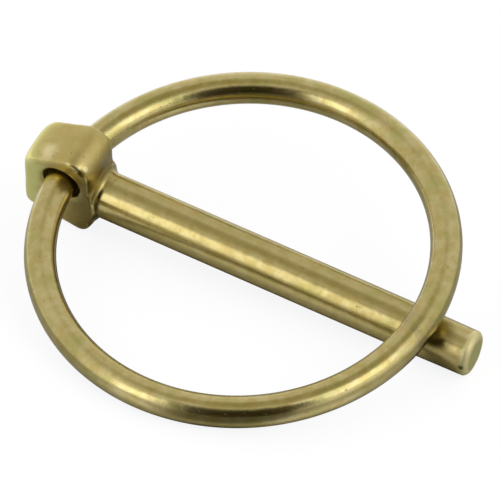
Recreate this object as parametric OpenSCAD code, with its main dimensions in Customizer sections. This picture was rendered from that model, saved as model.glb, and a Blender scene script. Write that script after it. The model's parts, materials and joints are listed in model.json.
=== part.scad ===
// Lynch pin: a round shank with a forged head, pressed flat on two sides and
// crowned all round, and a sprung wire ring that hinges in the head's cross
// hole and folds down over the shank.
// The part lies on a flat surface as it comes to rest there: on the underside
// of its head, on its tip, and on one side of its ring.
// Origin: on the shank's axis, at the root of its straight wall. X runs
// towards the tip.

/* [Shank] */
// Diameter of the shank
shank_d = 4.5; // [3.6:0.1:6]
// Length of the straight wall that sits in the mating hole
grip_l = 31.5; // [26:0.5:32]
// Length of the nose past the straight wall
nose_l = 7; // [6:0.25:14]
// Diameter of the nose at its sheared end
nose_d = 4.36; // [3:0.02:5.8]
// Break of the nose's end edge
nose_break = 0.35; // [0.1:0.05:0.6]

// Radius of the root fillet between the shank and the head
root_r = 0.65; // [0.3:0.05:0.9]
// How far the fillet's rim stands ahead of the head's front
root_rim = 0.15; // [0.05:0.05:0.3]

/* [Head] */
// How far each of the head's two pressed flats stands out from the shank's side
flat_step = 0.3; // [0.05:0.05:0.5]
// Length of the head along the shank
head_l = 7.25; // [7:0.05:11]
// Height of the head's top above the shank's axis
head_up = 6.15; // [5.2:0.05:8]
// Depth of the head's underside below the shank's axis
head_down = 3.7; // [3.5:0.05:6]
// Fall of the head's top from its front to its back
top_fall = 1.1; // [0:0.1:1.4]
// Rise of the head's underside from its front to its back
under_rise = 0.7; // [0:0.1:2]
// How far the top, back and underside fall off from the middle to each flat
crown = 1; // [0.4:0.05:1.05]
// How far the front falls off from the middle to each flat
front_crown = 0.45; // [0.2:0.05:0.6]
// Fullness of the crown: 2 is an ellipse, and more is squarer
fullness = 3.2; // [2:0.1:6]
// Radius of its upper front corner
front_up_r = 1.15; // [1.05:0.05:1.6]
// Radius of its lower front corner
front_down_r = 1.25; // [1.05:0.05:1.6]
// Radius of its upper back corner
back_up_r = 2.2; // [1.4:0.1:2.8]
// Radius of its lower back corner
back_down_r = 1.2; // [1.2:0.1:2.2]

/* [Ring hole] */
// Diameter of the cross hole
hole_d = 3.8; // [3:0.1:4.2]
// Height of the hole above the shank's axis
hole_up = 2.4; // [1.4:0.1:2.8]
// Distance of the hole behind the front of the head
hole_back = 3; // [2.9:0.05:4.2]
// Break of the hole's two mouths
hole_break = 0.2; // [0.05:0.05:0.35]

/* [Ring] */
// Diameter of the ring's wire
wire_d = 3; // [2:0.1:3.2]
// Outer diameter of the ring
ring_d = 40.5; // [38.5:0.25:46]
// Sideways lean of the ring in its hole, in degrees
ring_lean = 4.2; // [0:0.2:4.6]
// Gap between the two ends of the wire, inside the hole
ring_gap = 0.5; // [0.2:0.1:1.2]
// Clearance between the closed ring and the shank
seat_clear = 0.05; // [0.02:0.01:0.2]

/* [Hidden] */

shank_r = shank_d / 2;
nose_r = nose_d / 2;
wire_r = wire_d / 2;
hole_r = hole_d / 2;
ring_r = ring_d / 2 - wire_r;
flat_y = shank_r + flat_step;

// places along the shank
front_x = -root_r - root_rim;
hole_x = front_x - hole_back;
back_x = front_x - head_l;
end_x = grip_l + nose_l;
edge_x = end_x - nose_break;

// the root fillet's outer radius, and the collar behind it, which goes into the
// head as deep as its rounded lower front corner
fillet_r = shank_r + root_r;
bevel = 1.5 * root_rim;
collar_r = fillet_r + bevel;
collar_x = front_x - front_down_r;

// the closed ring: where its wire crosses the shank, and how it slopes
cross_l = 2 * ring_r * cos(ring_lean);
cross_up = shank_r + wire_r + seat_clear;
ring_slope = asin((cross_up - hole_up) / cross_l);
gap_a = 2 * asin(ring_gap / 2 / ring_r);

// How the part lies. For a roll about the shank, the slope that brings the
// head and the tip down together, and the heights of the surface they touch
// and of the ring's lowest side. The roll is the one that makes them equal.
ring_mid = [hole_x + ring_r * cos(ring_lean) * cos(ring_slope),
            -ring_r * sin(ring_lean),
            hole_up + ring_r * cos(ring_lean) * sin(ring_slope)];
dual = fullness / (fullness - 1);

function foot_depth(roll) =
    (head_down - front_crown) * cos(roll)
    + pow(pow(flat_y * sin(roll), dual) + pow(front_crown * cos(roll), dual), 1 / dual);
function slope_at(roll) = atan((foot_depth(roll) - nose_r) / (edge_x - collar_x));
function floor_at(roll) =
    -edge_x * sin(slope_at(roll)) - nose_r * cos(slope_at(roll));
function ring_face(roll) =
    cos(slope_at(roll)) * cos(roll) * cos(ring_slope)
    + sin(slope_at(roll)) * sin(ring_slope);
function ring_low(roll) =
    -ring_mid[0] * sin(slope_at(roll))
    + ring_mid[1] * cos(slope_at(roll)) * sin(roll)
    + ring_mid[2] * cos(slope_at(roll)) * cos(roll)
    - ring_r * sqrt(1 - pow(ring_face(roll), 2)) - wire_r;
function roll_between(low, high, halvings) =
    let (mid = (low + high) / 2)
    halvings == 0 ? mid
    : ring_low(mid) > floor_at(mid) ? roll_between(mid, high, halvings - 1)
    : roll_between(low, mid, halvings - 1);

lie_roll = roll_between(0, 40, 16);
lie_slope = slope_at(lie_roll);

brass = [0.72, 0.63, 0.36];
old_brass = [0.66, 0.58, 0.33];

// share of its fall that a crown has at an angle a from the middle, out of 90
function crown_share(a) = 1 - pow(1 - pow(abs(sin(a)), fullness), 1 / fullness);

// a roller across the head, whose rim has the head's crowned section
module corner_roller(r, fall) {
    rotate([90, 0, 0])
        rotate_extrude($fn = 40)
            polygon([
                [0, -flat_y],
                for (a = [-90 : 15 : 90]) [r - fall * crown_share(a), flat_y * sin(a)],
                [0, flat_y]
            ]);
}

// the forged head before it is drilled
module head_blank() {
    hull() {
        translate([front_x - front_up_r, 0, head_up - front_up_r])
            corner_roller(front_up_r, front_crown);
        translate([front_x - front_down_r, 0, front_down_r - head_down])
            corner_roller(front_down_r, front_crown);
        translate([back_x + back_up_r, 0, head_up - top_fall - back_up_r])
            corner_roller(back_up_r, crown);
        translate([back_x + back_down_r, 0, under_rise + back_down_r - head_down])
            corner_roller(back_down_r, crown);
    }
}

// the shank's turned outline: the collar with its bevel, the root fillet, the
// straight wall, the slightly drawn-down nose and its broken edge
module shank_outline() {
    difference() {
        polygon([
            [0, collar_x], [collar_r, collar_x], [collar_r, -root_r - bevel],
            [fillet_r, -root_r], [fillet_r, 0], [shank_r, 0], [shank_r, grip_l],
            [nose_r, edge_x], [nose_r - nose_break, end_x], [0, end_x]
        ]);
        translate([fillet_r, 0])
            circle(r = root_r, $fn = 48);
    }
}

// the shank, with its root pressed flush with the head's flats
module shank() {
    difference() {
        rotate([0, 90, 0])
            rotate_extrude($fn = 96)
                shank_outline();
        for (side = [-1, 1])
            translate([collar_x - 1, side * (flat_y + collar_r) - collar_r, -collar_r - 1])
                cube([1 - collar_x, 2 * collar_r, 2 * collar_r + 2]);
    }
}

// the cross hole with its broken mouths
module ring_hole() {
    translate([hole_x, 0, hole_up])
        rotate([90, 0, 0]) {
            cylinder(r = hole_r, h = 4 * flat_y, center = true, $fn = 96);
            for (side = [-1, 1])
                scale([1, 1, side])
                    translate([0, 0, flat_y - hole_break])
                        cylinder(r1 = hole_r, r2 = hole_r + 2 * hole_break,
                                 h = 2 * hole_break, $fn = 96);
        }
}

// lays its children down as the part comes to rest
module laid() {
    rotate([0, lie_slope, 0])
        rotate([lie_roll, 0, 0])
            children();
}

module pin() {
    color(brass)
        laid()
            difference() {
                union() {
                    head_blank();
                    shank();
                }
                ring_hole();
            }
}

// the ring lies closed, its wire's ends meeting inside the hole
module ring() {
    color(old_brass)
        laid()
            translate([hole_x, 0, hole_up])
                rotate([0, -ring_slope, 0])
                    rotate([0, 0, -ring_lean])
                        translate([ring_r, 0, 0])
                            rotate([0, 0, 180 + gap_a / 2])
                                rotate_extrude(angle = 360 - gap_a, $fn = 192)
                                    translate([ring_r, 0])
                                        circle(r = wire_r, $fn = 48);
}

pin();
ring();
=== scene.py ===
"""Lynch pin: a forged pin and its sprung wire ring, both zinc plated and yellow passivated."""

import json
import logging
import math
from dataclasses import dataclass, field
from enum import Enum
from typing import Any, Mapping, Sequence, Union

import bmesh
import bpy
from mathutils import Matrix, Vector, noise

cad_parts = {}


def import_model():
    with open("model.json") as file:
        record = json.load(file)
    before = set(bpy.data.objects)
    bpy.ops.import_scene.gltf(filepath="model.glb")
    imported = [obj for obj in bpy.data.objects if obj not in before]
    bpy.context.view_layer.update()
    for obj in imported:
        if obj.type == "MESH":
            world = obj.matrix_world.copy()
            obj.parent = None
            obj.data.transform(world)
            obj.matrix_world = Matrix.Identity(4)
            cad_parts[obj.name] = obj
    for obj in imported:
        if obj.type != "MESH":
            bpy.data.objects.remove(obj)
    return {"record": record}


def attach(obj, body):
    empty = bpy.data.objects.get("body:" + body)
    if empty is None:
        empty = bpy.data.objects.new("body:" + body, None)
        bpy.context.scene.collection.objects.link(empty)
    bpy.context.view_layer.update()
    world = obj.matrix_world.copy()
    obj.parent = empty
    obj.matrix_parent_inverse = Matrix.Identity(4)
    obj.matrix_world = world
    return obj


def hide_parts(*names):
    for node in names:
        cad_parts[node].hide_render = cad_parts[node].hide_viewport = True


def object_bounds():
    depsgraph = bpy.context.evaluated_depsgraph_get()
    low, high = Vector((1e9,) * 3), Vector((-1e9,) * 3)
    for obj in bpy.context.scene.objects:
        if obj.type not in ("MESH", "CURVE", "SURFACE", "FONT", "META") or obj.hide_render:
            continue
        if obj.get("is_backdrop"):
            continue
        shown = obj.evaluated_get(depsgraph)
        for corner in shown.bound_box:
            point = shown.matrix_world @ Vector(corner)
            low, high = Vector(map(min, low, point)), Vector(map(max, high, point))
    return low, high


LOG = logging.getLogger("lynch_pin")
MM = 0.001
# the mesh attributes that the finishes read
PLACE = "place_mm"
RELIEF = "relief"
# in millimetres: how close points are merged, and how near a place counts as reached
WELD = 1e-5
NEAR = 1e-4

Triple = tuple[float, float, float]
Value = Union["Socket", float, Sequence[float]]


class MarkKind(Enum):
    """What a mark in a film is."""

    # dark marks: dirt, and painted shade
    DIRT_AND_SHADE = "dirt"
    # light marks: painted glints
    GLINT = "glint"


class Socket:
    """A node's output, which takes part in sums as a number does."""

    def __init__(self, graph: "Graph", node: bpy.types.Node, pick: int | str) -> None:
        """Keeps which output it stands for.

        Args:
            graph: The graph that new nodes go into.
            node: The node.
            pick: The node's output, by name or index.
        """
        self.graph = graph
        self.node = node
        self.pick = pick

    @property
    def out(self) -> bpy.types.NodeSocket:
        """The output itself, for a link."""
        return self.node.outputs[self.pick]

    def other(self, pick: int | str) -> "Socket":
        """Another output of the same node."""
        return Socket(self.graph, self.node, pick)

    def larger(self, term: Value) -> "Socket":
        """This socket or another term, whichever is larger."""
        return self._math("MAXIMUM", self, term)

    def _math(self, operation: str, *terms: Value) -> "Socket":
        """The result of a Math node's operation on numbers or sockets."""
        inputs = dict(enumerate(terms))
        return self.graph.node("ShaderNodeMath", {"operation": operation}, inputs)

    def __abs__(self) -> "Socket":
        """This socket without its sign."""
        return self._math("ABSOLUTE", self)

    def __add__(self, term: Value) -> "Socket":
        """This socket plus another term."""
        return self._math("ADD", self, term)

    def __radd__(self, term: Value) -> "Socket":
        """Another term plus this socket."""
        return self._math("ADD", term, self)

    def __sub__(self, term: Value) -> "Socket":
        """This socket minus another term."""
        return self._math("SUBTRACT", self, term)

    def __rsub__(self, term: Value) -> "Socket":
        """Another term minus this socket."""
        return self._math("SUBTRACT", term, self)

    def __mul__(self, term: Value) -> "Socket":
        """This socket times another term."""
        return self._math("MULTIPLY", self, term)

    def __rmul__(self, term: Value) -> "Socket":
        """Another term times this socket."""
        return self._math("MULTIPLY", term, self)


class Graph:
    """A node tree under construction."""

    def __init__(self, tree: bpy.types.NodeTree) -> None:
        """Takes the node tree of a material or of the world, and empties it."""
        self.tree = tree
        tree.nodes.clear()

    def node(
        self,
        kind: str,
        settings: Mapping[str, Any] | None = None,
        inputs: Mapping[int | str, Value] | None = None,
        out: int | str = 0,
    ) -> Socket:
        """Adds a node of any type.

        Args:
            kind: The node's type.
            settings: Properties of the node, by name.
            inputs: Values or sockets for its inputs, by name or index.
            out: The output that is wanted, by name or index.

        Returns:
            The wanted output.
        """
        made = self.tree.nodes.new(kind)
        for name, value in (settings or {}).items():
            setattr(made, name, value)
        for name, value in (inputs or {}).items():
            if isinstance(value, Socket):
                self.tree.links.new(value.out, made.inputs[name])
            else:
                made.inputs[name].default_value = value
        return Socket(self, made, out)

    def attribute(self, name: str, out: str) -> Socket:
        """An attribute of the mesh, by its name and by the node's output that gives it."""
        settings = {"attribute_type": "GEOMETRY", "attribute_name": name}
        return self.node("ShaderNodeAttribute", settings, out=out)

    def measure(self, operation: str, *vectors: Value) -> Socket:
        """The number that a Vector Math node's operation gives for one or two vectors."""
        inputs = dict(enumerate(vectors))
        return self.node("ShaderNodeVectorMath", {"operation": operation}, inputs, out="Value")

    def blend(self, share: Value, first: Value, second: Value) -> Socket:
        """Mixes two colours.

        Args:
            share: Share of the second colour, from 0 to 1.
            first: A colour or a socket.
            second: A colour or a socket.

        Returns:
            The mixed colour.
        """
        return self.node(
            "ShaderNodeMix",
            {"data_type": "RGBA", "clamp_factor": True},
            {0: share, 6: rgba(first), 7: rgba(second)},
            out=2,
        )

    def bump(self, height: Socket, depth: float, below: Socket | None = None) -> Socket:
        """Adds a bump.

        Args:
            height: Height, from 0 to 1.
            depth: What a height of 1 is, in metres.
            below: A coarser bump's normal.

        Returns:
            The bumped normal.
        """
        inputs: dict[int | str, Value] = {"Height": height, "Distance": depth, "Strength": 1.0}
        if below is not None:
            inputs["Normal"] = below
        return self.node("ShaderNodeBump", {}, inputs)


def rgba(colour: Value) -> Value:
    """Gives a colour its fourth number, and leaves a socket as it is."""
    return colour if isinstance(colour, Socket) else (*colour, 1.0)


@dataclass(frozen=True)
class Step:
    """A smooth step between two values.

    Attributes:
        start: Where it starts.
        end: Where it ends.
        share: Its height.
    """

    start: float
    end: float
    share: float = 1.0

    def up(self, value: Socket) -> Socket:
        """Rises from 0 at the start to the share at the end."""
        return self._between(value, 0.0, self.share)

    def down(self, value: Socket) -> Socket:
        """Falls from the share at the start to 0 at the end."""
        return self._between(value, self.share, 0.0)

    def _between(self, value: Socket, first: float, last: float) -> Socket:
        """Adds the step's node.

        Args:
            value: The value that the step is taken over.
            first: What it gives up to the start.
            last: What it gives past the end.

        Returns:
            The step.
        """
        return value.graph.node(
            "ShaderNodeMapRange",
            {"interpolation_type": "SMOOTHSTEP", "clamp": True},
            {
                "Value": value,
                "From Min": self.start,
                "From Max": self.end,
                "To Min": first,
                "To Max": last,
            },
        )


@dataclass(frozen=True)
class Layer:
    """A noise over a piece's surface.

    Attributes:
        shift: How far it is shifted, so that layers of one size don't agree.
        scale: Its frequency, per millimetre.
        detail: Its number of octaves.
        rough: The strength of each octave against the one before.
        stretch: Scale of each coordinate. A small one draws the noise out along it.
    """

    shift: Triple
    scale: float
    detail: float
    rough: float
    stretch: Triple = (1.0, 1.0, 1.0)

    def over(self, place: Socket) -> Socket:
        """Adds the noise.

        Args:
            place: The piece's own coordinates, in millimetres.

        Returns:
            The noise, about 0.5 in the middle.
        """
        moved = place.graph.node(
            "ShaderNodeMapping",
            {},
            {"Vector": place, "Location": self.shift, "Scale": self.stretch},
        )
        return place.graph.node(
            "ShaderNodeTexNoise",
            {"noise_dimensions": "3D"},
            {
                "Vector": moved,
                "Scale": self.scale,
                "Detail": self.detail,
                "Roughness": self.rough,
            },
        )


@dataclass(frozen=True)
class Mark:
    """A round mark in the film: a dark one of dirt and painted shade, or a painted glint.

    Attributes:
        centre: Its middle, in the piece's own millimetres.
        near: How far from its middle it is at its strongest.
        far: How far from its middle it ends.
        wander: How far its border wanders in and out.
        share: How strong it is, from 0 to 1.
        kind: What it is.
    """

    centre: Triple
    near: float
    far: float
    wander: float
    share: float
    kind: MarkKind = MarkKind.DIRT_AND_SHADE

    def over(self, place: Socket, clouds: Socket) -> Socket:
        """Gives the mark's strength over the surface.

        Args:
            place: The piece's own coordinates, in millimetres.
            clouds: A noise that breaks the mark's border.

        Returns:
            The share of the mark's colour.
        """
        away = place.graph.measure("DISTANCE", place, self.centre)
        ragged = (clouds - 0.5) * self.wander
        return Step(self.near, self.far, self.share).down(away + ragged)


@dataclass(frozen=True)
class PassivatedZinc:
    """Yellow passivated zinc on drawn steel.

    The film's colour wanders between straw, brown and green. Drawn lines, grains and soft
    dents break its shine, and dark specks and marks its colour. The marks are dirt, painted
    shade and painted glints.

    Attributes:
        name: The material's name.
        marks: The marks in the film: dirt, painted shade and painted glints.
        straw: Colour of the film where it is thin.
        brown: Colour of the film where it is thick.
        green: Colour of the film's green patches.
        speck: Colour of the small dark specks.
        dirt_and_shade: Colour of dirt, and of painted shade.
        glint_colour: Colour of painted glints.
        patches: The layer of the green patches.
        clouds: The layer of the film's thickness.
        lines: The layer of the lines that the metal was drawn with.
        grains: The layer of the metal's fine grains.
        dents: The layer of the soft dents.
        specks: The layer of the specks.
        browned: Where the clouds turn the film brown.
        greened: Where the patches turn it green.
        rubbed: Where the lines thin it back to straw.
        specked: Where the specks' layer leaves a speck.
        speck_share: How strongly a speck colours the film.
        rough: Roughness at its least and at its greatest.
        rough_shares: What the clouds, the lines and the grains give to the roughness.
        rough_base: What is added to those shares.
        speck_rough: How much rougher a speck is.
        coat: Weight of the clear coat that the thick film makes.
        coat_rough: Roughness of that coat.
        dent_depth: Depth of the dents, in metres.
        line_depth: Depth of the lines, in metres.
        grain_depth: Depth of the grains, in metres.
    """

    name: str
    marks: tuple[Mark, ...] = ()
    straw: Triple = (0.68, 0.57, 0.25)
    brown: Triple = (0.58, 0.45, 0.15)
    green: Triple = (0.50, 0.46, 0.14)
    speck: Triple = (0.10, 0.07, 0.025)
    dirt_and_shade: Triple = (0.15, 0.11, 0.02)
    glint_colour: Triple = (1.0, 0.87, 0.48)
    patches: Layer = Layer((11.0, 4.0, 7.0), 0.42, 4.0, 0.6)
    clouds: Layer = Layer((2.0, 9.0, 5.0), 0.9, 5.0, 0.6)
    lines: Layer = Layer((3.1, 0.7, 1.9), 5.5, 6.0, 0.7, stretch=(0.05, 1.0, 1.0))
    grains: Layer = Layer((0.0, 0.0, 0.0), 9.0, 4.0, 0.65)
    dents: Layer = Layer((5.0, 1.0, 8.0), 0.75, 2.0, 0.4)
    specks: Layer = Layer((0.0, 0.0, 0.0), 3.2, 2.0, 0.5)
    browned: Step = Step(0.36, 0.66)
    greened: Step = Step(0.46, 0.66, 0.75)
    rubbed: Step = Step(0.52, 0.78, 0.45)
    specked: Step = Step(0.70, 0.76)
    speck_share: float = 0.5
    rough: tuple[float, float] = (0.13, 0.27)
    rough_shares: Triple = (0.5, 0.35, 0.3)
    rough_base: float = -0.08
    speck_rough: float = 0.2
    coat: float = 0.35
    coat_rough: float = 0.15
    dent_depth: float = 0.00002
    line_depth: float = 0.000008
    grain_depth: float = 0.0000048

    def make(self) -> bpy.types.Material:
        """Builds the material.

        Returns:
            The new material.
        """
        material = bpy.data.materials.new(self.name)
        material.use_nodes = True
        graph = Graph(material.node_tree)
        place = graph.attribute(PLACE, "Vector")
        clouds = self.clouds.over(place)
        lines = self.lines.over(place)
        grains = self.grains.over(place)
        specks = self.specked.up(self.specks.over(place))

        film = graph.blend(self.browned.up(clouds), self.straw, self.brown)
        film = graph.blend(self.greened.up(self.patches.over(place)), film, self.green)
        film = graph.blend(self.rubbed.up(lines), film, self.straw)
        least, greatest = self.rough
        by_clouds, by_lines, by_grains = self.rough_shares
        spread = by_clouds * clouds + by_lines * lines + by_grains * grains + self.rough_base
        rough = least + (greatest - least) * spread + specks * self.speck_rough
        film, rough = self._weathered_and_painted(place, clouds, film, rough)
        # the marks: dirt, painted shade and painted glints
        for mark in self.marks:
            colour = {MarkKind.DIRT_AND_SHADE: self.dirt_and_shade, MarkKind.GLINT: self.glint_colour}[mark.kind]
            film = graph.blend(mark.over(place, clouds), film, colour)
        film = graph.blend(specks * self.speck_share, film, self.speck)

        normal = graph.bump(self.dents.over(place), self.dent_depth)
        normal = graph.bump(lines, self.line_depth, normal)
        normal = graph.bump(grains, self.grain_depth, normal)
        surface = graph.node(
            "ShaderNodeBsdfPrincipled",
            {},
            {
                "Base Color": film,
                "Metallic": 1.0,
                "Roughness": rough,
                "Normal": normal,
                "Coat Weight": self.coat,
                "Coat Roughness": self.coat_rough,
            },
        )
        graph.node("ShaderNodeOutputMaterial", {}, {"Surface": surface})
        return material

    def _weathered_and_painted(
        self, place: Socket, clouds: Socket, film: Socket, rough: Socket
    ) -> tuple[Socket, Socket]:
        """Leaves the even film's colour and roughness as they are: wire weathers evenly."""
        return film, rough


@dataclass(frozen=True)
class Reading:
    """What a forging's film reads of the surface under it, in millimetres.

    Attributes:
        along: How far down the shank it is.
        across: How far it is from the head's middle, to either flat.
        high: How far above the shank's axis it is.
        reach: How far it is from the shank's axis.
        relief: How far it stands out of the surface round it.
        ragged: How far a border wanders there.
    """

    along: Socket
    across: Socket
    high: Socket
    reach: Socket
    relief: Socket
    ragged: Socket

    @classmethod
    def of(cls, place: Socket, clouds: Socket, wander: float) -> "Reading":
        """Takes the reading.

        Args:
            place: The pin's own coordinates.
            clouds: A noise that breaks the borders.
            wander: How far a border wanders, in millimetres.

        Returns:
            The reading.
        """
        graph = place.graph
        along = graph.node("ShaderNodeSeparateXYZ", {}, {0: place}, out="X")
        side, high = along.other("Y"), along.other("Z")
        section = graph.node("ShaderNodeCombineXYZ", {}, {"Y": side, "Z": high})
        return cls(
            along=along,
            across=abs(side),
            high=high,
            reach=graph.measure("LENGTH", section),
            relief=graph.attribute(RELIEF, "Fac"),
            ragged=(clouds - 0.5) * wander,
        )


@dataclass(frozen=True)
class ForgedZinc(PassivatedZinc):
    """Yellow passivated zinc on the forged pin, whose head, recesses and edges differ.

    The steps are places in millimetres on the pin's own axes, or reliefs in millimetres. The
    recesses and the front of the head get painted shade, its back a paler film with painted
    reflection, and the rim of the root a painted highlight.

    Attributes:
        ochre: Colour of the film on the head.
        deep: Colour that darkens the film on the shank.
        thin: Colour of the back of the head: a paler, greener film, brightened as painted
            reflection.
        sheared: Colour of the sheared end.
        ochre_share: Share of the ochre on the head.
        deep_share: Share of the dark colour on the shank.
        sheared_share: Share of the sheared end's colour.
        head_rough: How much rougher the head is than the shank.
        edge_polish: Share of that roughness which wear has taken off the edges.
        end_rough: How much rougher the sheared end is.
        wander: How far the borders of the front's and the back's film wander.
        head: Where the head's film ends along the shank.
        end: Where the sheared end starts.
        edge: The relief at which an edge is worn, and at which the rim of the root takes its
            painted highlight.
        groove: The relief at which a recess gets painted shade, and how dark it is.
        groove_fade: Over which height the painted shade in recesses fades, and by how much.
        front: Where the painted shade in front of the hole starts along the head.
        front_end: Where that painted shade ends, at the root.
        front_top: Where it ends above the hole, and how strong it is.
        back: Where the paler film and painted reflection on the back of the head end.
        back_top: Where that film ends towards the top.
        back_fade: Where it grows from its least share, and by how much. The lesser share on
            the rounded back end is painted shade.
        back_least: Its least share.
        rim: Where the painted highlight on the rim of the root starts, and how strong it is.
        rim_out: Where that rim ends, away from the shank's axis.
        rim_side: Where it ends towards the flats.
    """

    rough: tuple[float, float] = (0.15, 0.28)
    coat: float = 0.0
    ochre: Triple = (0.65, 0.505, 0.175)
    deep: Triple = (0.40, 0.31, 0.10)
    thin: Triple = (0.96, 0.94, 0.37)
    sheared: Triple = (0.68, 0.68, 0.28)
    ochre_share: float = 0.6
    deep_share: float = 0.32
    sheared_share: float = 0.8
    head_rough: float = 0.23
    edge_polish: float = 0.6
    end_rough: float = 0.35
    wander: float = 2.0
    head: Step = Step(-1.1, -0.5)
    end: Step = Step(37.5, 38.0)
    edge: Step = Step(0.012, 0.03)
    groove: Step = Step(-0.02, -0.004, 0.85)
    groove_fade: Step = Step(0.2, 2.2, 0.75)
    front: Step = Step(-4.4, -1.2)
    front_end: Step = Step(-0.8, -0.4)
    front_top: Step = Step(3.8, 5.2, 0.54)
    back: Step = Step(-6.8, -4.8)
    back_top: Step = Step(3.6, 5.4)
    back_fade: Step = Step(-8.0, -7.4, 0.5)
    back_least: float = 0.4
    rim: Step = Step(-1.05, -0.85, 0.7)
    rim_out: Step = Step(3.15, 3.35)
    rim_side: Step = Step(1.7, 2.4)

    def _weathered_and_painted(
        self, place: Socket, clouds: Socket, film: Socket, rough: Socket
    ) -> tuple[Socket, Socket]:
        """Changes the film over the shank, head and end, with painted shade, reflection and
        highlight.

        Args:
            place: The pin's own coordinates.
            clouds: A noise that breaks the borders.
            film: The even film's colour.
            rough: The even film's roughness.

        Returns:
            The colour and the roughness.
        """
        graph = place.graph
        at = Reading.of(place, clouds, self.wander)
        head, end = self.head.down(at.along), self.end.up(at.along)
        edge = self.edge.up(at.relief)
        film = graph.blend((1 - head) * self.deep_share, film, self.deep)
        film = graph.blend(end * self.sheared_share, film, self.sheared)
        film = graph.blend(head * self.ochre_share, film, self.ochre)
        # painted shade in the recesses and in front of the hole, stronger lower down
        film = graph.blend(self._painted_shade(at), film, self.dirt_and_shade)
        # a paler film brightened as painted reflection on the back of the head, less on its
        # rounded back end as painted shade
        film = graph.blend(self._pale_back_and_sheen(at), film, self.thin)
        # a painted highlight on the rim of the root
        film = graph.blend(edge * self._painted_rim_highlight(at), film, self.glint_colour)
        dull = head * self.head_rough * (1 - edge * self.edge_polish) + end * self.end_rough
        return film, rough + dull

    def _painted_shade(self, at: Reading) -> Socket:
        """Finds the painted shade in the recesses and in front of the hole.

        Args:
            at: What the film reads.

        Returns:
            The painted shade's share.
        """
        recess = self.groove.down(at.relief) * (1 - self.groove_fade.up(at.high))
        front = self.front.up(at.along + at.ragged) * self.front_end.down(at.along)
        return recess.larger(front * self.front_top.down(at.high))

    def _pale_back_and_sheen(self, at: Reading) -> Socket:
        """Share of the paler film and painted reflection on the back of the head, less on its
        rounded back end as painted shade.
        """
        back = self.back.down(at.along + at.ragged) * self.back_top.down(at.high)
        return back * (self.back_least + self.back_fade.up(at.along))

    def _painted_rim_highlight(self, at: Reading) -> Socket:
        """Share of the painted highlight on the rim of the root, above and below the shank."""
        rim = self.rim.up(at.along) * self.rim_out.down(at.reach)
        return rim * self.rim_side.down(at.across)


@dataclass(frozen=True)
class Lie:
    """How the part lies: the turn of the pin's own axes, in which X runs down the shank.

    Attributes:
        turn: The rotation from the pin's axes to the frame's.
        hinge: The ring's hinge point in the frame, in metres.
    """

    turn: Matrix
    hinge: Vector

    @classmethod
    def of(cls, record: Mapping[str, Any]) -> "Lie":
        """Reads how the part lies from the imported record.

        Args:
            record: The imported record.

        Returns:
            The lie.
        """
        along = Vector(record["mounts"][0]["axis"]).normalized()
        joint = record["behaviour"]["joints"][0]
        across = -Vector(joint["axis"]).normalized()
        up = along.cross(across)
        turn = Matrix((along, across, up)).transposed().to_4x4()
        return cls(turn, Vector(joint["pos_m"]))

    def placed(self) -> Matrix:
        """The matrix from the pin's own millimetres to the frame's metres."""
        return self.turn @ Matrix.Scale(MM, 4)


@dataclass(frozen=True)
class Hole:
    """The cross hole in the head, which the ring hinges in.

    Attributes:
        x: Its place along the shank, in millimetres.
        z: Its height above the shank's axis, in millimetres.
        radius: Its radius, in millimetres.
        mouth: The break of its two mouths, in millimetres.
    """

    x: float = -3.8
    z: float = 2.4
    radius: float = 1.9
    mouth: float = 0.2


def object_of(bm: bmesh.types.BMesh, name: str) -> bpy.types.Object:
    """Makes an object of a bmesh.

    Args:
        bm: The mesh. It is freed.
        name: The object's name.

    Returns:
        The object.
    """
    mesh = bpy.data.meshes.new(name)
    bm.to_mesh(mesh)
    bm.free()
    made = bpy.data.objects.new(name, mesh)
    bpy.context.scene.collection.objects.link(made)
    return made


def drop(passing: bpy.types.Object) -> None:
    """Deletes a passing object and its mesh.

    Args:
        passing: The object.
    """
    mesh = passing.data
    bpy.data.objects.remove(passing)
    bpy.data.meshes.remove(mesh)


def applied(passing: bpy.types.Object) -> bmesh.types.BMesh:
    """Applies a passing object's modifiers and deletes it.

    Args:
        passing: The object.

    Returns:
        Its mesh, with the modifiers applied.
    """
    evaluated = passing.evaluated_get(bpy.context.evaluated_depsgraph_get())
    bm = bmesh.new()
    bm.from_mesh(evaluated.to_mesh())
    evaluated.to_mesh_clear()
    drop(passing)
    return bm


def cut(blank: bmesh.types.BMesh, tool: bmesh.types.BMesh) -> bmesh.types.BMesh:
    """Cuts a tool's shape out of a blank.

    Args:
        blank: What is cut. It is freed.
        tool: The shape that is taken away. It is freed.

    Returns:
        What is left.
    """
    body, cutter = object_of(blank, "blank"), object_of(tool, "tool")
    change = body.modifiers.new("cut", "BOOLEAN")
    change.operation, change.solver, change.object = "DIFFERENCE", "EXACT", cutter
    left = applied(body)
    drop(cutter)
    return left


def fused(shells: bmesh.types.BMesh, cell: float) -> bmesh.types.BMesh:
    """Fuses overlapping shells into one skin of even cells.

    Args:
        shells: The shells. It is freed.
        cell: The cells' size.

    Returns:
        The skin.
    """
    body = object_of(shells, "shells")
    change = body.modifiers.new("even", "REMESH")
    change.mode, change.voxel_size, change.adaptivity = "VOXEL", cell, 0.0
    return applied(body)


def soften(bm: bmesh.types.BMesh, verts: Sequence[bmesh.types.BMVert], passes: int) -> None:
    """Moves vertices towards the middle of their neighbours.

    Args:
        bm: The mesh.
        verts: The vertices that move.
        passes: How many times they move.
    """
    for _ in range(passes):
        bmesh.ops.smooth_vert(
            bm, verts=verts, factor=0.5, use_axis_x=True, use_axis_y=True, use_axis_z=True
        )


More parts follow.
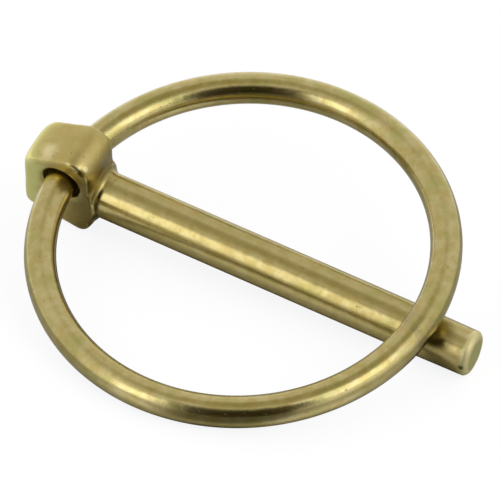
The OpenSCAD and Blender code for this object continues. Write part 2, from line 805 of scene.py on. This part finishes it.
@dataclass
class PlatedPiece:
    """One plated piece of the part, which stands for the CAD node of its body.

    Attributes:
        lie: How the part lies.
        hole: The head's cross hole.
        finish: The piece's finish.
        piece: The finished object.
    """

    lie: Lie
    hole: Hole
    finish: PassivatedZinc
    piece: bpy.types.Object | None = field(default=None, init=False)

    def build(self) -> None:
        """Builds the piece, each kind in its own way."""
        raise NotImplementedError

    def dress(self) -> None:
        """Gives the piece its finish."""
        self.piece.data.materials.append(self.finish.make())

    def _set_down(self, bm: bmesh.types.BMesh, name: str, body: str, slot: str) -> None:
        """Makes the finished object.

        Args:
            bm: The mesh, in the frame's metres. It is freed.
            name: The object's name.
            body: The CAD body, and node, that it stands for.
            slot: The record's material slot. It is not used.
        """
        self.piece = object_of(bm, name)
        self.piece.data.shade_smooth()
        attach(self.piece, body)
        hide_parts(body)


@dataclass
class ForgedPin(PlatedPiece):
    """The shank and its forged, cross-drilled head, in one piece.

    Sizes are in millimetres, on the pin's own axes. X runs down the shank from the root of
    its straight wall, and Z towards the top of the head.

    Attributes:
        shank_r: Radius of the shank.
        grip_l: Length of its straight wall.
        nose_l: Length of the nose past that wall.
        nose_r: Radius of the nose at its end.
        nose_break: Break of the nose's end edge.
        shear_drop: How far the end leans back at most, as it was sheared off square.
        shear_turn: Where on its rim it leans back most, in degrees from Y towards Z.
        root_r: Radius of the fillet between the shank and the head.
        root_rim: How far that fillet's rim stands ahead of the head's front.
        flat_step: How far each pressed flat stands out from the shank's side.
        head_l: Length of the head.
        head_up: Height of the head's top.
        head_down: Depth of its underside.
        top_fall: Fall of its top from the front to the back.
        under_rise: Rise of its underside from the front to the back.
        crown: How far its top, back and underside fall off towards the flats.
        front_crown: How far its front falls off towards the flats.
        fullness: Fullness of the crown. 2 is an ellipse, and more is squarer.
        front_up_r: Radius of its upper front corner.
        front_down_r: Radius of its lower front corner.
        back_up_r: Radius of its upper back corner.
        back_down_r: Radius of its lower back corner.
        face_ease: How far the head's faces are drawn in.
        bore_ease: How far the hole's wall is drawn in.
        bore_border: How far from the hole the faces begin.
        swells: Frequency per millimetre, and height, of each unevenness of the faces.
        edge_passes: How often the head, its root and the nose's end are softened.
        edge_x: How far ahead of the root the head's softening goes.
        nose_back: How far behind the nose's edge its softening starts.
        brow_passes: How often the top of the head is softened more.
        brow_x: Place behind which the top of the head is softened more.
        brow_up: Height above the hole from which it is softened more.
        relief_passes: Passes of softening that a vertex's relief is measured against.
        cell: Size of the skin's cells.
        rim_turn: Turn between two points of a crowned rim, in degrees.
        turns: Cells round whatever is turned.
        root_cells: Cells of the root fillet's outline.
        grip_cells: Cells along the straight wall.
    """

    shank_r: float = 2.25
    grip_l: float = 31.5
    nose_l: float = 7.0
    nose_r: float = 2.18
    nose_break: float = 0.35
    shear_drop: float = 0.26
    shear_turn: float = -20.0
    root_r: float = 0.65
    root_rim: float = 0.15
    flat_step: float = 0.3
    head_l: float = 7.25
    head_up: float = 6.15
    head_down: float = 3.7
    top_fall: float = 1.1
    under_rise: float = 0.7
    crown: float = 1.0
    front_crown: float = 0.45
    fullness: float = 3.2
    front_up_r: float = 2.1
    front_down_r: float = 1.25
    back_up_r: float = 2.2
    back_down_r: float = 1.2
    face_ease: float = 0.02
    bore_ease: float = 0.035
    bore_border: float = 0.6
    swells: tuple[tuple[float, float], ...] = ((0.45, 0.04), (1.3, 0.012))
    edge_passes: int = 3
    edge_x: float = 0.4
    nose_back: float = 0.5
    brow_passes: int = 11
    brow_x: float = -1.6
    brow_up: float = 0.3
    relief_passes: int = 30
    cell: float = 0.11
    rim_turn: int = 5
    turns: int = 96
    root_cells: int = 12
    grip_cells: int = 40

    @property
    def front_x(self) -> float:
        """Place of the head's front."""
        return -self.root_r - self.root_rim

    @property
    def back_x(self) -> float:
        """Place of the head's back."""
        return self.front_x - self.head_l

    @property
    def flat_y(self) -> float:
        """Distance of the head's flats from its middle."""
        return self.shank_r + self.flat_step

    @property
    def bevel(self) -> float:
        """Width of the bevel behind the root fillet's rim."""
        return 1.5 * self.root_rim

    @property
    def collar_x(self) -> float:
        """Place of the back of the collar, which goes into the head."""
        return self.front_x - self.front_down_r

    @property
    def end_x(self) -> float:
        """Place of the nose's end."""
        return self.grip_l + self.nose_l

    @property
    def nose_x(self) -> float:
        """Place where the break of the nose's end edge starts."""
        return self.end_x - self.nose_break

    def build(self) -> None:
        """Builds the pin."""
        shells = self._drilled(self._head_blank())
        self._add_shank(shells)
        bm = fused(shells, self.cell)
        self._soften_edges(bm)
        self._forge_faces(bm)
        place = bm.verts.layers.float_vector.new(PLACE)
        for vert in bm.verts:
            vert[place] = vert.co
        self._note_relief(bm)
        bmesh.ops.transform(bm, matrix=self.lie.placed(), verts=bm.verts)
        self._set_down(bm, "forged_pin", "pin", "plated_pin")

    def _crown_share(self, angle: float) -> float:
        """Share of its fall that the crown has at an angle from the middle, in radians."""
        full = self.fullness
        return 1 - (1 - min(1.0, abs(math.sin(angle))) ** full) ** (1 / full)

    def _add_roller(
        self, bm: bmesh.types.BMesh, x: float, z: float, radius: float, fall: float
    ) -> None:
        """Adds the points of one rounded corner of the head: a roller with a crowned rim.

        Args:
            bm: The mesh that takes the points.
            x: The roller's centre along the shank.
            z: The roller's centre above the shank's axis.
            radius: Its greatest radius.
            fall: How far its rim falls off towards the flats.
        """
        rim = []
        for turn in range(-90, 91, self.rim_turn):
            angle = math.radians(turn)
            reach = radius - fall * self._crown_share(angle)
            rim.append(bm.verts.new((x + reach, self.flat_y * math.sin(angle), z)))
        bmesh.ops.spin(
            bm,
            geom=rim,
            cent=(x, 0, z),
            axis=(0, 1, 0),
            angle=math.tau * (1 - 1 / self.turns),
            steps=self.turns - 1,
            use_duplicate=True,
        )

    def _head_blank(self) -> bmesh.types.BMesh:
        """Builds the forged head before it is drilled.

        Returns:
            The head, as the hull of its four rounded corners.
        """
        front, back = self.front_x, self.back_x
        back_top, back_under = self.head_up - self.top_fall, self.under_rise - self.head_down
        bm = bmesh.new()
        # a corner's two faces, each with the way to its roller's centre, its radius and fall
        for x, along, z, upward, radius, fall in (
            (front, -1, self.head_up, -1, self.front_up_r, self.front_crown),
            (front, -1, -self.head_down, 1, self.front_down_r, self.front_crown),
            (back, 1, back_top, -1, self.back_up_r, self.crown),
            (back, 1, back_under, 1, self.back_down_r, self.crown),
        ):
            self._add_roller(bm, x + along * radius, z + upward * radius, radius, fall)
        hull = bmesh.ops.convex_hull(bm, input=bm.verts, use_existing_faces=False)
        loose = set(hull["geom_interior"]) | set(hull["geom_unused"])
        spare = [part for part in loose if isinstance(part, bmesh.types.BMVert)]
        bmesh.ops.delete(bm, geom=spare, context="VERTS")
        bmesh.ops.recalc_face_normals(bm, faces=bm.faces)
        return bm

    def _drilled(self, head: bmesh.types.BMesh) -> bmesh.types.BMesh:
        """Drills the cross hole with its broken mouths.

        Args:
            head: The head before it is drilled. It is freed.

        Returns:
            The drilled head.
        """
        hole, flat = self.hole, self.flat_y
        wide = hole.radius + 2 * hole.mouth
        outline = [
            (wide, -2 * flat),
            (wide, -flat - hole.mouth),
            (hole.radius, hole.mouth - flat),
            (hole.radius, flat - hole.mouth),
            (wide, flat + hole.mouth),
            (wide, 2 * flat),
        ]
        drill = bmesh.new()
        rim = [drill.verts.new((hole.x + reach, y, hole.z)) for reach, y in outline]
        edges = [drill.edges.new(pair) for pair in zip(rim, rim[1:])]
        bmesh.ops.spin(
            drill,
            geom=rim + edges,
            cent=(hole.x, 0, hole.z),
            axis=(0, 1, 0),
            angle=math.tau,
            steps=self.turns,
            use_merge=True,
        )
        bmesh.ops.holes_fill(drill, edges=drill.edges)
        bmesh.ops.recalc_face_normals(drill, faces=drill.faces)
        return cut(head, drill)

    def _shank_outline(self) -> list[tuple[float, float]]:
        """Draws the turned outline of the shank, from its collar to its end.

        Returns:
            The places along the shank, each with its radius.
        """
        fillet_r = self.shank_r + self.root_r
        collar_r = fillet_r + self.bevel
        outline = [(self.collar_x, 0.0), (self.collar_x, collar_r)]
        outline.append((-self.root_r - self.bevel, collar_r))
        for step in range(self.root_cells + 1):
            angle = math.radians(180 + 90 * step / self.root_cells)
            x, out = self.root_r * math.cos(angle), self.root_r * math.sin(angle)
            outline.append((x, fillet_r + out))
        for step in range(self.grip_cells):
            outline.append((self.grip_l * (step + 1) / self.grip_cells, self.shank_r))
        outline.append((self.nose_x, self.nose_r))
        outline.append((self.end_x, self.nose_r - self.nose_break))
        outline.append((self.end_x, 0.0))
        return outline

    def _add_shank(self, bm: bmesh.types.BMesh) -> None:
        """Adds the shank, sheared at its end and pressed flush with the flats at its root.

        Args:
            bm: The mesh that takes the shank.
        """
        rim = [bm.verts.new((x, 0, reach)) for x, reach in self._shank_outline()]
        edges = [bm.edges.new(pair) for pair in zip(rim, rim[1:])]
        bmesh.ops.spin(
            bm,
            geom=rim + edges,
            cent=(0, 0, 0),
            axis=(1, 0, 0),
            angle=math.tau,
            steps=self.turns,
            use_merge=True,
        )
        bmesh.ops.remove_doubles(bm, verts=bm.verts, dist=WELD)
        turn = math.radians(self.shear_turn)
        for vert in bm.verts:
            x, y, z = vert.co
            if x > self.nose_x - NEAR:
                lean = (y * math.cos(turn) + z * math.sin(turn)) / self.nose_r
                vert.co.x -= self.shear_drop * (1 + lean) / 2
            if self.collar_x - NEAR < x < 0 and abs(y) > self.flat_y:
                vert.co.y = math.copysign(self.flat_y, y)
        bmesh.ops.recalc_face_normals(bm, faces=bm.faces)

    def _soften_edges(self, bm: bmesh.types.BMesh) -> None:
        """Softens the edges of the head and of the nose, and the top of the head more.

        Args:
            bm: The pin, which is changed.
        """
        nose = self.nose_x - self.nose_back
        brow = self.hole.z + self.hole.radius + self.brow_up
        ends = [v for v in bm.verts if v.co.x < self.edge_x or v.co.x > nose]
        top = [v for v in ends if v.co.x < self.brow_x and v.co.z > brow]
        soften(bm, ends, self.edge_passes)
        soften(bm, top, self.brow_passes)

    def _forge_faces(self, bm: bmesh.types.BMesh) -> None:
        """Draws the head in a hair and gives its faces the slight unevenness of forging.

        The hole's wall stays round, and all of it fades out towards the root.

        Args:
            bm: The pin, which is changed.
        """
        bm.normal_update()
        for vert in [v for v in bm.verts if v.co.x <= 0]:
            bore = math.hypot(vert.co.x - self.hole.x, vert.co.z - self.hole.z)
            clear = min(1.0, max(0.0, (bore - self.hole.radius) / self.bore_border))
            swell = sum(noise.noise(vert.co * scale) * high for scale, high in self.swells)
            ease = self.bore_ease + (self.face_ease - self.bore_ease) * clear
            vert.co += vert.normal * (swell * clear - ease) * min(1.0, -vert.co.x)

    def _note_relief(self, bm: bmesh.types.BMesh) -> None:
        """Notes on each vertex how far it stands out of the surface round it.

        Args:
            bm: The pin, which gets the layer.
        """
        bm.normal_update()
        soft = bm.copy()
        soften(soft, soft.verts, self.relief_passes)
        relief = bm.verts.layers.float.new(RELIEF)
        for vert, eased in zip(bm.verts, soft.verts):
            vert[relief] = (vert.co - eased.co).dot(vert.normal)
        soft.free()


@dataclass
class SprungRing(PlatedPiece):
    """The sprung wire ring, whose two ends meet in the head's hole.

    Sizes are in millimetres.

    Attributes:
        wire_r: Radius of the wire, 0.005 less than the solid's, so that it stays in its box.
        ring_r: Radius of the ring, to the middle of its wire.
        gap: Gap between the wire's ends.
        lean: Sideways lean of the ring in its hole, in degrees.
        seat_z: Height above the shank's axis at which the closed wire crosses the shank.
        cells: Cells round the ring.
        sides: Cells round the wire.
    """

    wire_r: float = 1.495
    ring_r: float = 18.75
    gap: float = 0.5
    lean: float = 4.2
    seat_z: float = 3.8
    cells: int = 300
    sides: int = 48

    @property
    def gap_angle(self) -> float:
        """Angle of the gap, in radians."""
        return 2 * math.asin(self.gap / 2 / self.ring_r)

    @property
    def slope(self) -> float:
        """Slope of the closed ring against the shank, in radians."""
        crossing = 2 * self.ring_r * math.cos(math.radians(self.lean))
        return math.asin((self.seat_z - self.hole.z) / crossing)

    def build(self) -> None:
        """Builds the ring."""
        bm = bmesh.new()
        bmesh.ops.create_circle(bm, cap_ends=True, radius=self.wire_r, segments=self.sides)
        stand = Matrix.Translation((self.ring_r, 0, 0)) @ Matrix.Rotation(math.pi / 2, 4, "X")
        bmesh.ops.transform(bm, matrix=stand, verts=bm.verts)
        bmesh.ops.spin(
            bm,
            geom=list(bm.verts) + list(bm.edges) + list(bm.faces),
            cent=(0, 0, 0),
            axis=(0, 0, 1),
            angle=math.tau - self.gap_angle,
            steps=self.cells,
        )
        bmesh.ops.recalc_face_normals(bm, faces=bm.faces)
        self._note_places(bm)
        bmesh.ops.transform(bm, matrix=self.lie.placed() @ self._closed(), verts=bm.verts)
        self._set_down(bm, "sprung_ring", "ring", "plated_wire")

    def _note_places(self, bm: bmesh.types.BMesh) -> None:
        """Notes on each vertex its place along, across and above the wire.

        Args:
            bm: The ring, flat about its own middle, which gets the layer.
        """
        place = bm.verts.layers.float_vector.new(PLACE)
        for vert in bm.verts:
            x, y, z = vert.co
            angle = math.atan2(y, x) % math.tau
            vert[place] = (angle * self.ring_r, math.hypot(x, y) - self.ring_r, z)

    def _closed(self) -> Matrix:
        """Works out how the ring sits in the head's hole, closed over the shank.

        Returns:
            The matrix from the ring, flat about its own middle, to the pin's axes.
        """
        at_hole = Matrix.Translation((self.hole.x, 0, self.hole.z))
        slope = Matrix.Rotation(-self.slope, 4, "Y")
        lean = Matrix.Rotation(math.radians(-self.lean), 4, "Z")
        centre = Matrix.Translation((self.ring_r, 0, 0))
        turn = Matrix.Rotation(math.pi + self.gap_angle / 2, 4, "Z")
        return at_hole @ slope @ lean @ centre @ turn


@dataclass(frozen=True)
class View:
    """The camera, which also says where the lights and the room stand.

    Attributes:
        lie: How the part lies.
        azimuth: Way to the camera about the frame's Z, in degrees from X.
        elevation: Height of the camera, in degrees above the horizon.
        roll: How far its right side is lifted, in degrees.
        distance: Distance of the camera, in metres.
        seen_width: Width of what it sees at that distance, in metres.
        aim_right: How far to the right of the hinge it aims, in metres.
        aim_down: How far below the hinge it aims, along its own upright, in metres.
        sensor: Width of its sensor, in millimetres.
        clip: Nearest and farthest distance that it sees, in metres.
    """

    lie: Lie
    azimuth: float = -65.2131
    elevation: float = 40.5021
    roll: float = 4.9257
    distance: float = 1.0
    seen_width: float = 0.0464
    aim_right: float = 0.01636
    aim_down: float = 0.00791
    sensor: float = 36.0
    clip: tuple[float, float] = (0.01, 20.0)

    def way(self, azimuth: float, elevation: float) -> Vector:
        """Gives a direction from the part, by its angles in degrees.

        Args:
            azimuth: Angle to the right of the way to the camera.
            elevation: Angle above the horizon.

        Returns:
            The direction.
        """
        turn, rise = math.radians(self.azimuth + azimuth), math.radians(elevation)
        level = Vector((math.cos(turn), math.sin(turn), 0))
        return level * math.cos(rise) + Vector((0, 0, math.sin(rise)))

    def build(self) -> None:
        """Adds the camera."""
        back, level = self.way(0, self.elevation), self.way(90, 0)
        right = Matrix.Rotation(math.radians(self.roll), 3, back) @ level
        up = back.cross(right)
        target = self.lie.hinge + right * self.aim_right - up * self.aim_down
        data = bpy.data.cameras.new("camera")
        data.sensor_width = self.sensor
        data.lens = self.sensor * self.distance / self.seen_width
        data.clip_start, data.clip_end = self.clip
        camera = bpy.data.objects.new("camera", data)
        turn = Matrix((right, up, back)).transposed().to_4x4()
        camera.matrix_world = Matrix.Translation(target + back * self.distance) @ turn
        bpy.context.scene.collection.objects.link(camera)
        bpy.context.scene.camera = camera


@dataclass(frozen=True)
class Softbox:
    """A rectangular light that faces the part. Angles are in degrees.

    Attributes:
        name: The light's name.
        azimuth: Where it stands, to the right of the camera.
        elevation: How high it stands.
        width: Its width as seen from the part.
        height: Its height as seen from the part.
        radiance: Its brightness, where white is 1.
        colour: Its colour.
        distance: Its distance from the part, in metres.
    """

    name: str
    azimuth: float
    elevation: float
    width: float
    height: float
    radiance: float
    colour: Triple = (0.97, 1.0, 1.12)
    distance: float = 0.5

    def build(self, view: View) -> None:
        """Adds the light, which the camera doesn't see.

        Args:
            view: The camera that it stands by.
        """
        data = bpy.data.lights.new(self.name, "AREA")
        data.shape = "RECTANGLE"
        data.color = self.colour
        data.size = 2 * self.distance * math.tan(math.radians(self.width / 2))
        data.size_y = 2 * self.distance * math.tan(math.radians(self.height / 2))
        data.energy = self.radiance * math.pi * data.size * data.size_y
        lamp = bpy.data.objects.new(self.name, data)
        way = view.way(self.azimuth, self.elevation)
        lamp.location = way * self.distance
        lamp.rotation_euler = (-way).to_track_quat("-Z", "Y").to_euler()
        lamp.visible_camera = False
        bpy.context.scene.collection.objects.link(lamp)


@dataclass(frozen=True)
class Floor:
    """The pale card that the part lies on, which is lifted to white for the camera.

    Attributes:
        height: Its height, in metres.
        radius: Its radius, in metres.
        sides: Number of its sides.
        card: Its colour.
        glow: Colour of the lift.
        lift: Strength of the lift for the camera, where white is 1.
        shine_lift: Strength of the lift in reflections and through glass.
        shine_way: The side on which reflections show it, in degrees right of the camera.
        shine: How far towards that side it starts and is full, in metres.
        polish: Share of gloss in reflections.
        gloss: Colour of the gloss.
        gloss_rough: Roughness of the gloss.
    """

    height: float
    radius: float = 2.5
    sides: int = 64
    card: Triple = (0.22, 0.216, 0.194)
    glow: Triple = (0.985, 0.99, 1.01)
    lift: float = 0.875
    shine_lift: float = 0.62
    shine_way: float = -150.0
    shine: Step = Step(-0.004, 0.036)
    polish: float = 0.6
    gloss: Triple = (0.78, 0.78, 0.78)
    gloss_rough: float = 0.32

    def build(self, view: View) -> None:
        """Adds the floor.

        Args:
            view: The camera that it is lifted for.
        """
        bm = bmesh.new()
        bmesh.ops.create_circle(bm, cap_ends=True, radius=self.radius, segments=self.sides)
        bmesh.ops.translate(bm, vec=(0, 0, self.height), verts=bm.verts)
        floor = object_of(bm, "floor")
        floor.data.materials.append(self._card(view))
        floor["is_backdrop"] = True

    def _card(self, view: View) -> bpy.types.Material:
        """Builds the card's material.

        Args:
            view: The camera that the floor is lifted for.

        Returns:
            The new material.
        """
        material = bpy.data.materials.new("white_card")
        material.use_nodes = True
        graph = Graph(material.node_tree)
        seen = graph.node("ShaderNodeLightPath", out="Is Camera Ray")
        mirrored = seen.other("Is Glossy Ray") + seen.other("Is Transmission Ray")
        place = graph.node("ShaderNodeTexCoord", out="Object")
        behind = graph.measure("DOT_PRODUCT", place, view.way(self.shine_way, 0))
        lit = seen + mirrored * self.shine.up(behind) * (self.shine_lift / self.lift)
        card = graph.node("ShaderNodeBsdfDiffuse", {}, {"Color": rgba(self.card)})
        gloss = graph.node(
            "ShaderNodeBsdfGlossy",
            {},
            {"Color": rgba(self.gloss), "Roughness": self.gloss_rough},
        )
        glow = graph.node(
            "ShaderNodeEmission", {}, {"Color": rgba(self.glow), "Strength": self.lift}
        )
        ground = graph.node(
            "ShaderNodeMixShader", {}, {0: mirrored * self.polish, 1: card, 2: gloss}
        )
        lifted = graph.node("ShaderNodeMixShader", {}, {0: lit, 2: glow})
        surface = graph.node("ShaderNodeAddShader", {}, {0: ground, 1: lifted})
        graph.node("ShaderNodeOutputMaterial", {}, {"Surface": surface})
        return material


@dataclass(frozen=True)
class Room:
    """The room round the part: grey walls, and the dark of the room behind the camera.

    Each step is over the cosine of a ray's angle to the way that it is about.

    Attributes:
        walls: Colour of the walls.
        ceiling: Colour of the ceiling.
        far_wall: Colour of the wall that faces the camera.
        gloom: Colour of the dark.
        overhead: Where the ceiling starts, about straight up.
        facing: Where the far wall starts, about the way that the camera looks.
        gloom_back: Where the dark starts, about the way back to the camera.
        gloom_side: Where it ends to either side.
        gloom_top: Where it ends towards the ceiling.
        gloom_left: How far to the camera's left its middle lies.
    """

    walls: Triple = (0.68, 0.68, 0.68)
    ceiling: Triple = (0.39, 0.37, 0.27)
    far_wall: Triple = (0.85, 0.85, 0.85)
    gloom: Triple = (0.025, 0.019, 0.006)
    overhead: Step = Step(0.86, 0.99)
    facing: Step = Step(0.78, 0.96)
    gloom_back: Step = Step(0.0, 0.2)
    gloom_side: Step = Step(0.38, 0.52)
    gloom_top: Step = Step(0.72, 0.90)
    gloom_left: float = 0.03

    def build(self, view: View) -> None:
        """Makes the room the scene's world.

        Args:
            view: The camera that it stands round.
        """
        world = bpy.data.worlds.new("room")
        world.use_nodes = True
        graph = Graph(world.node_tree)
        ray = graph.node("ShaderNodeTexCoord", out="Generated")
        up, back, right, ahead = (
            graph.measure("DOT_PRODUCT", ray, view.way(azimuth, elevation))
            for azimuth, elevation in ((0, 90), (0, 0), (90, 0), (180, 0))
        )
        dark = self.gloom_side.down(abs(right + self.gloom_left))
        dark = dark * self.gloom_back.up(back) * self.gloom_top.down(up)
        colour = graph.blend(self.overhead.up(up), self.walls, self.ceiling)
        colour = graph.blend(self.facing.up(ahead), colour, self.far_wall)
        colour = graph.blend(dark, colour, self.gloom)
        surface = graph.node("ShaderNodeBackground", {}, {"Color": colour, "Strength": 1.0})
        graph.node("ShaderNodeOutputWorld", {}, {"Surface": surface})
        bpy.context.scene.world = world


@dataclass(frozen=True)
class Studio:
    """The camera, the floor, the lights and the room.

    Attributes:
        view: The camera.
        floor: The floor.
        lamps: The lights.
        room: The room.
    """

    view: View
    floor: Floor
    lamps: tuple[Softbox, ...] = (
        Softbox("right_softbox", azimuth=47, elevation=43, width=30, height=30, radiance=0.9),
        Softbox("right_haze", azimuth=57, elevation=39, width=46, height=52, radiance=0.3),
        Softbox("left_strip", azimuth=-45, elevation=27, width=15, height=36, radiance=1.3),
        Softbox("left_haze", azimuth=-57, elevation=30, width=26, height=60, radiance=0.22),
    )
    room: Room = Room()

    def build(self) -> None:
        """Builds all of it, around the camera."""
        bpy.context.scene.view_settings.view_transform = "Standard"
        self.view.build()
        for part in (self.floor, *self.lamps, self.room):
            part.build(self.view)


PIN_MARKS = (
    # a painted highlight on the near side of the head's top
    Mark((-5.5, -1.5, 5.0), near=0.2, far=1.3, wander=1.0, share=0.9, kind=MarkKind.GLINT),
    # dirt on the edge of the sheared end, and a painted shadow of the ring on top of the nose
    Mark((38.0, -2.12, 0.4), near=0.12, far=0.4, wander=0.4, share=0.9),
    Mark((34.6, -0.6, 2.1), near=1.1, far=2.3, wander=2.3, share=0.5),
    # two painted glints and a dark spot between them, beside the near end of the head's upper
    # front edge
    Mark((-1.55, -2.45, 5.25), near=0.2, far=0.6, wander=0.6, share=0.9),
    Mark((-2.2, -2.45, 5.45), near=0.15, far=0.45, wander=0.45, share=1.0, kind=MarkKind.GLINT),
    Mark((-1.3, -1.9, 5.5), near=0.15, far=0.4, wander=0.4, share=0.8, kind=MarkKind.GLINT),
)
RING_MARKS = (
    # painted shade under the wire where it crosses the shank
    Mark((58.9, 0.0, -1.5), near=1.5, far=3.6, wander=3.6, share=0.8),
)


def corners(box: tuple[Vector, Vector]) -> list[list[float]]:
    """A box's two corners as plain lists."""
    return [[float(number) for number in corner] for corner in box]


def main() -> None:
    """Builds the studio and the part."""
    logging.basicConfig(level=logging.INFO, format="%(name)s: %(message)s")
    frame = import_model()
    cad_box = corners(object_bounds())
    lie, hole = Lie.of(frame["record"]), Hole()
    Studio(View(lie), Floor(height=cad_box[0][2])).build()
    for maker in (
        ForgedPin(lie, hole, ForgedZinc("passivated_forging", PIN_MARKS)),
        SprungRing(lie, hole, PassivatedZinc("passivated_wire", RING_MARKS)),
    ):
        maker.build()
        maker.dress()
        LOG.info("%s: %d faces", maker.piece.name, len(maker.piece.data.polygons))


if __name__ == "__main__":
    main()
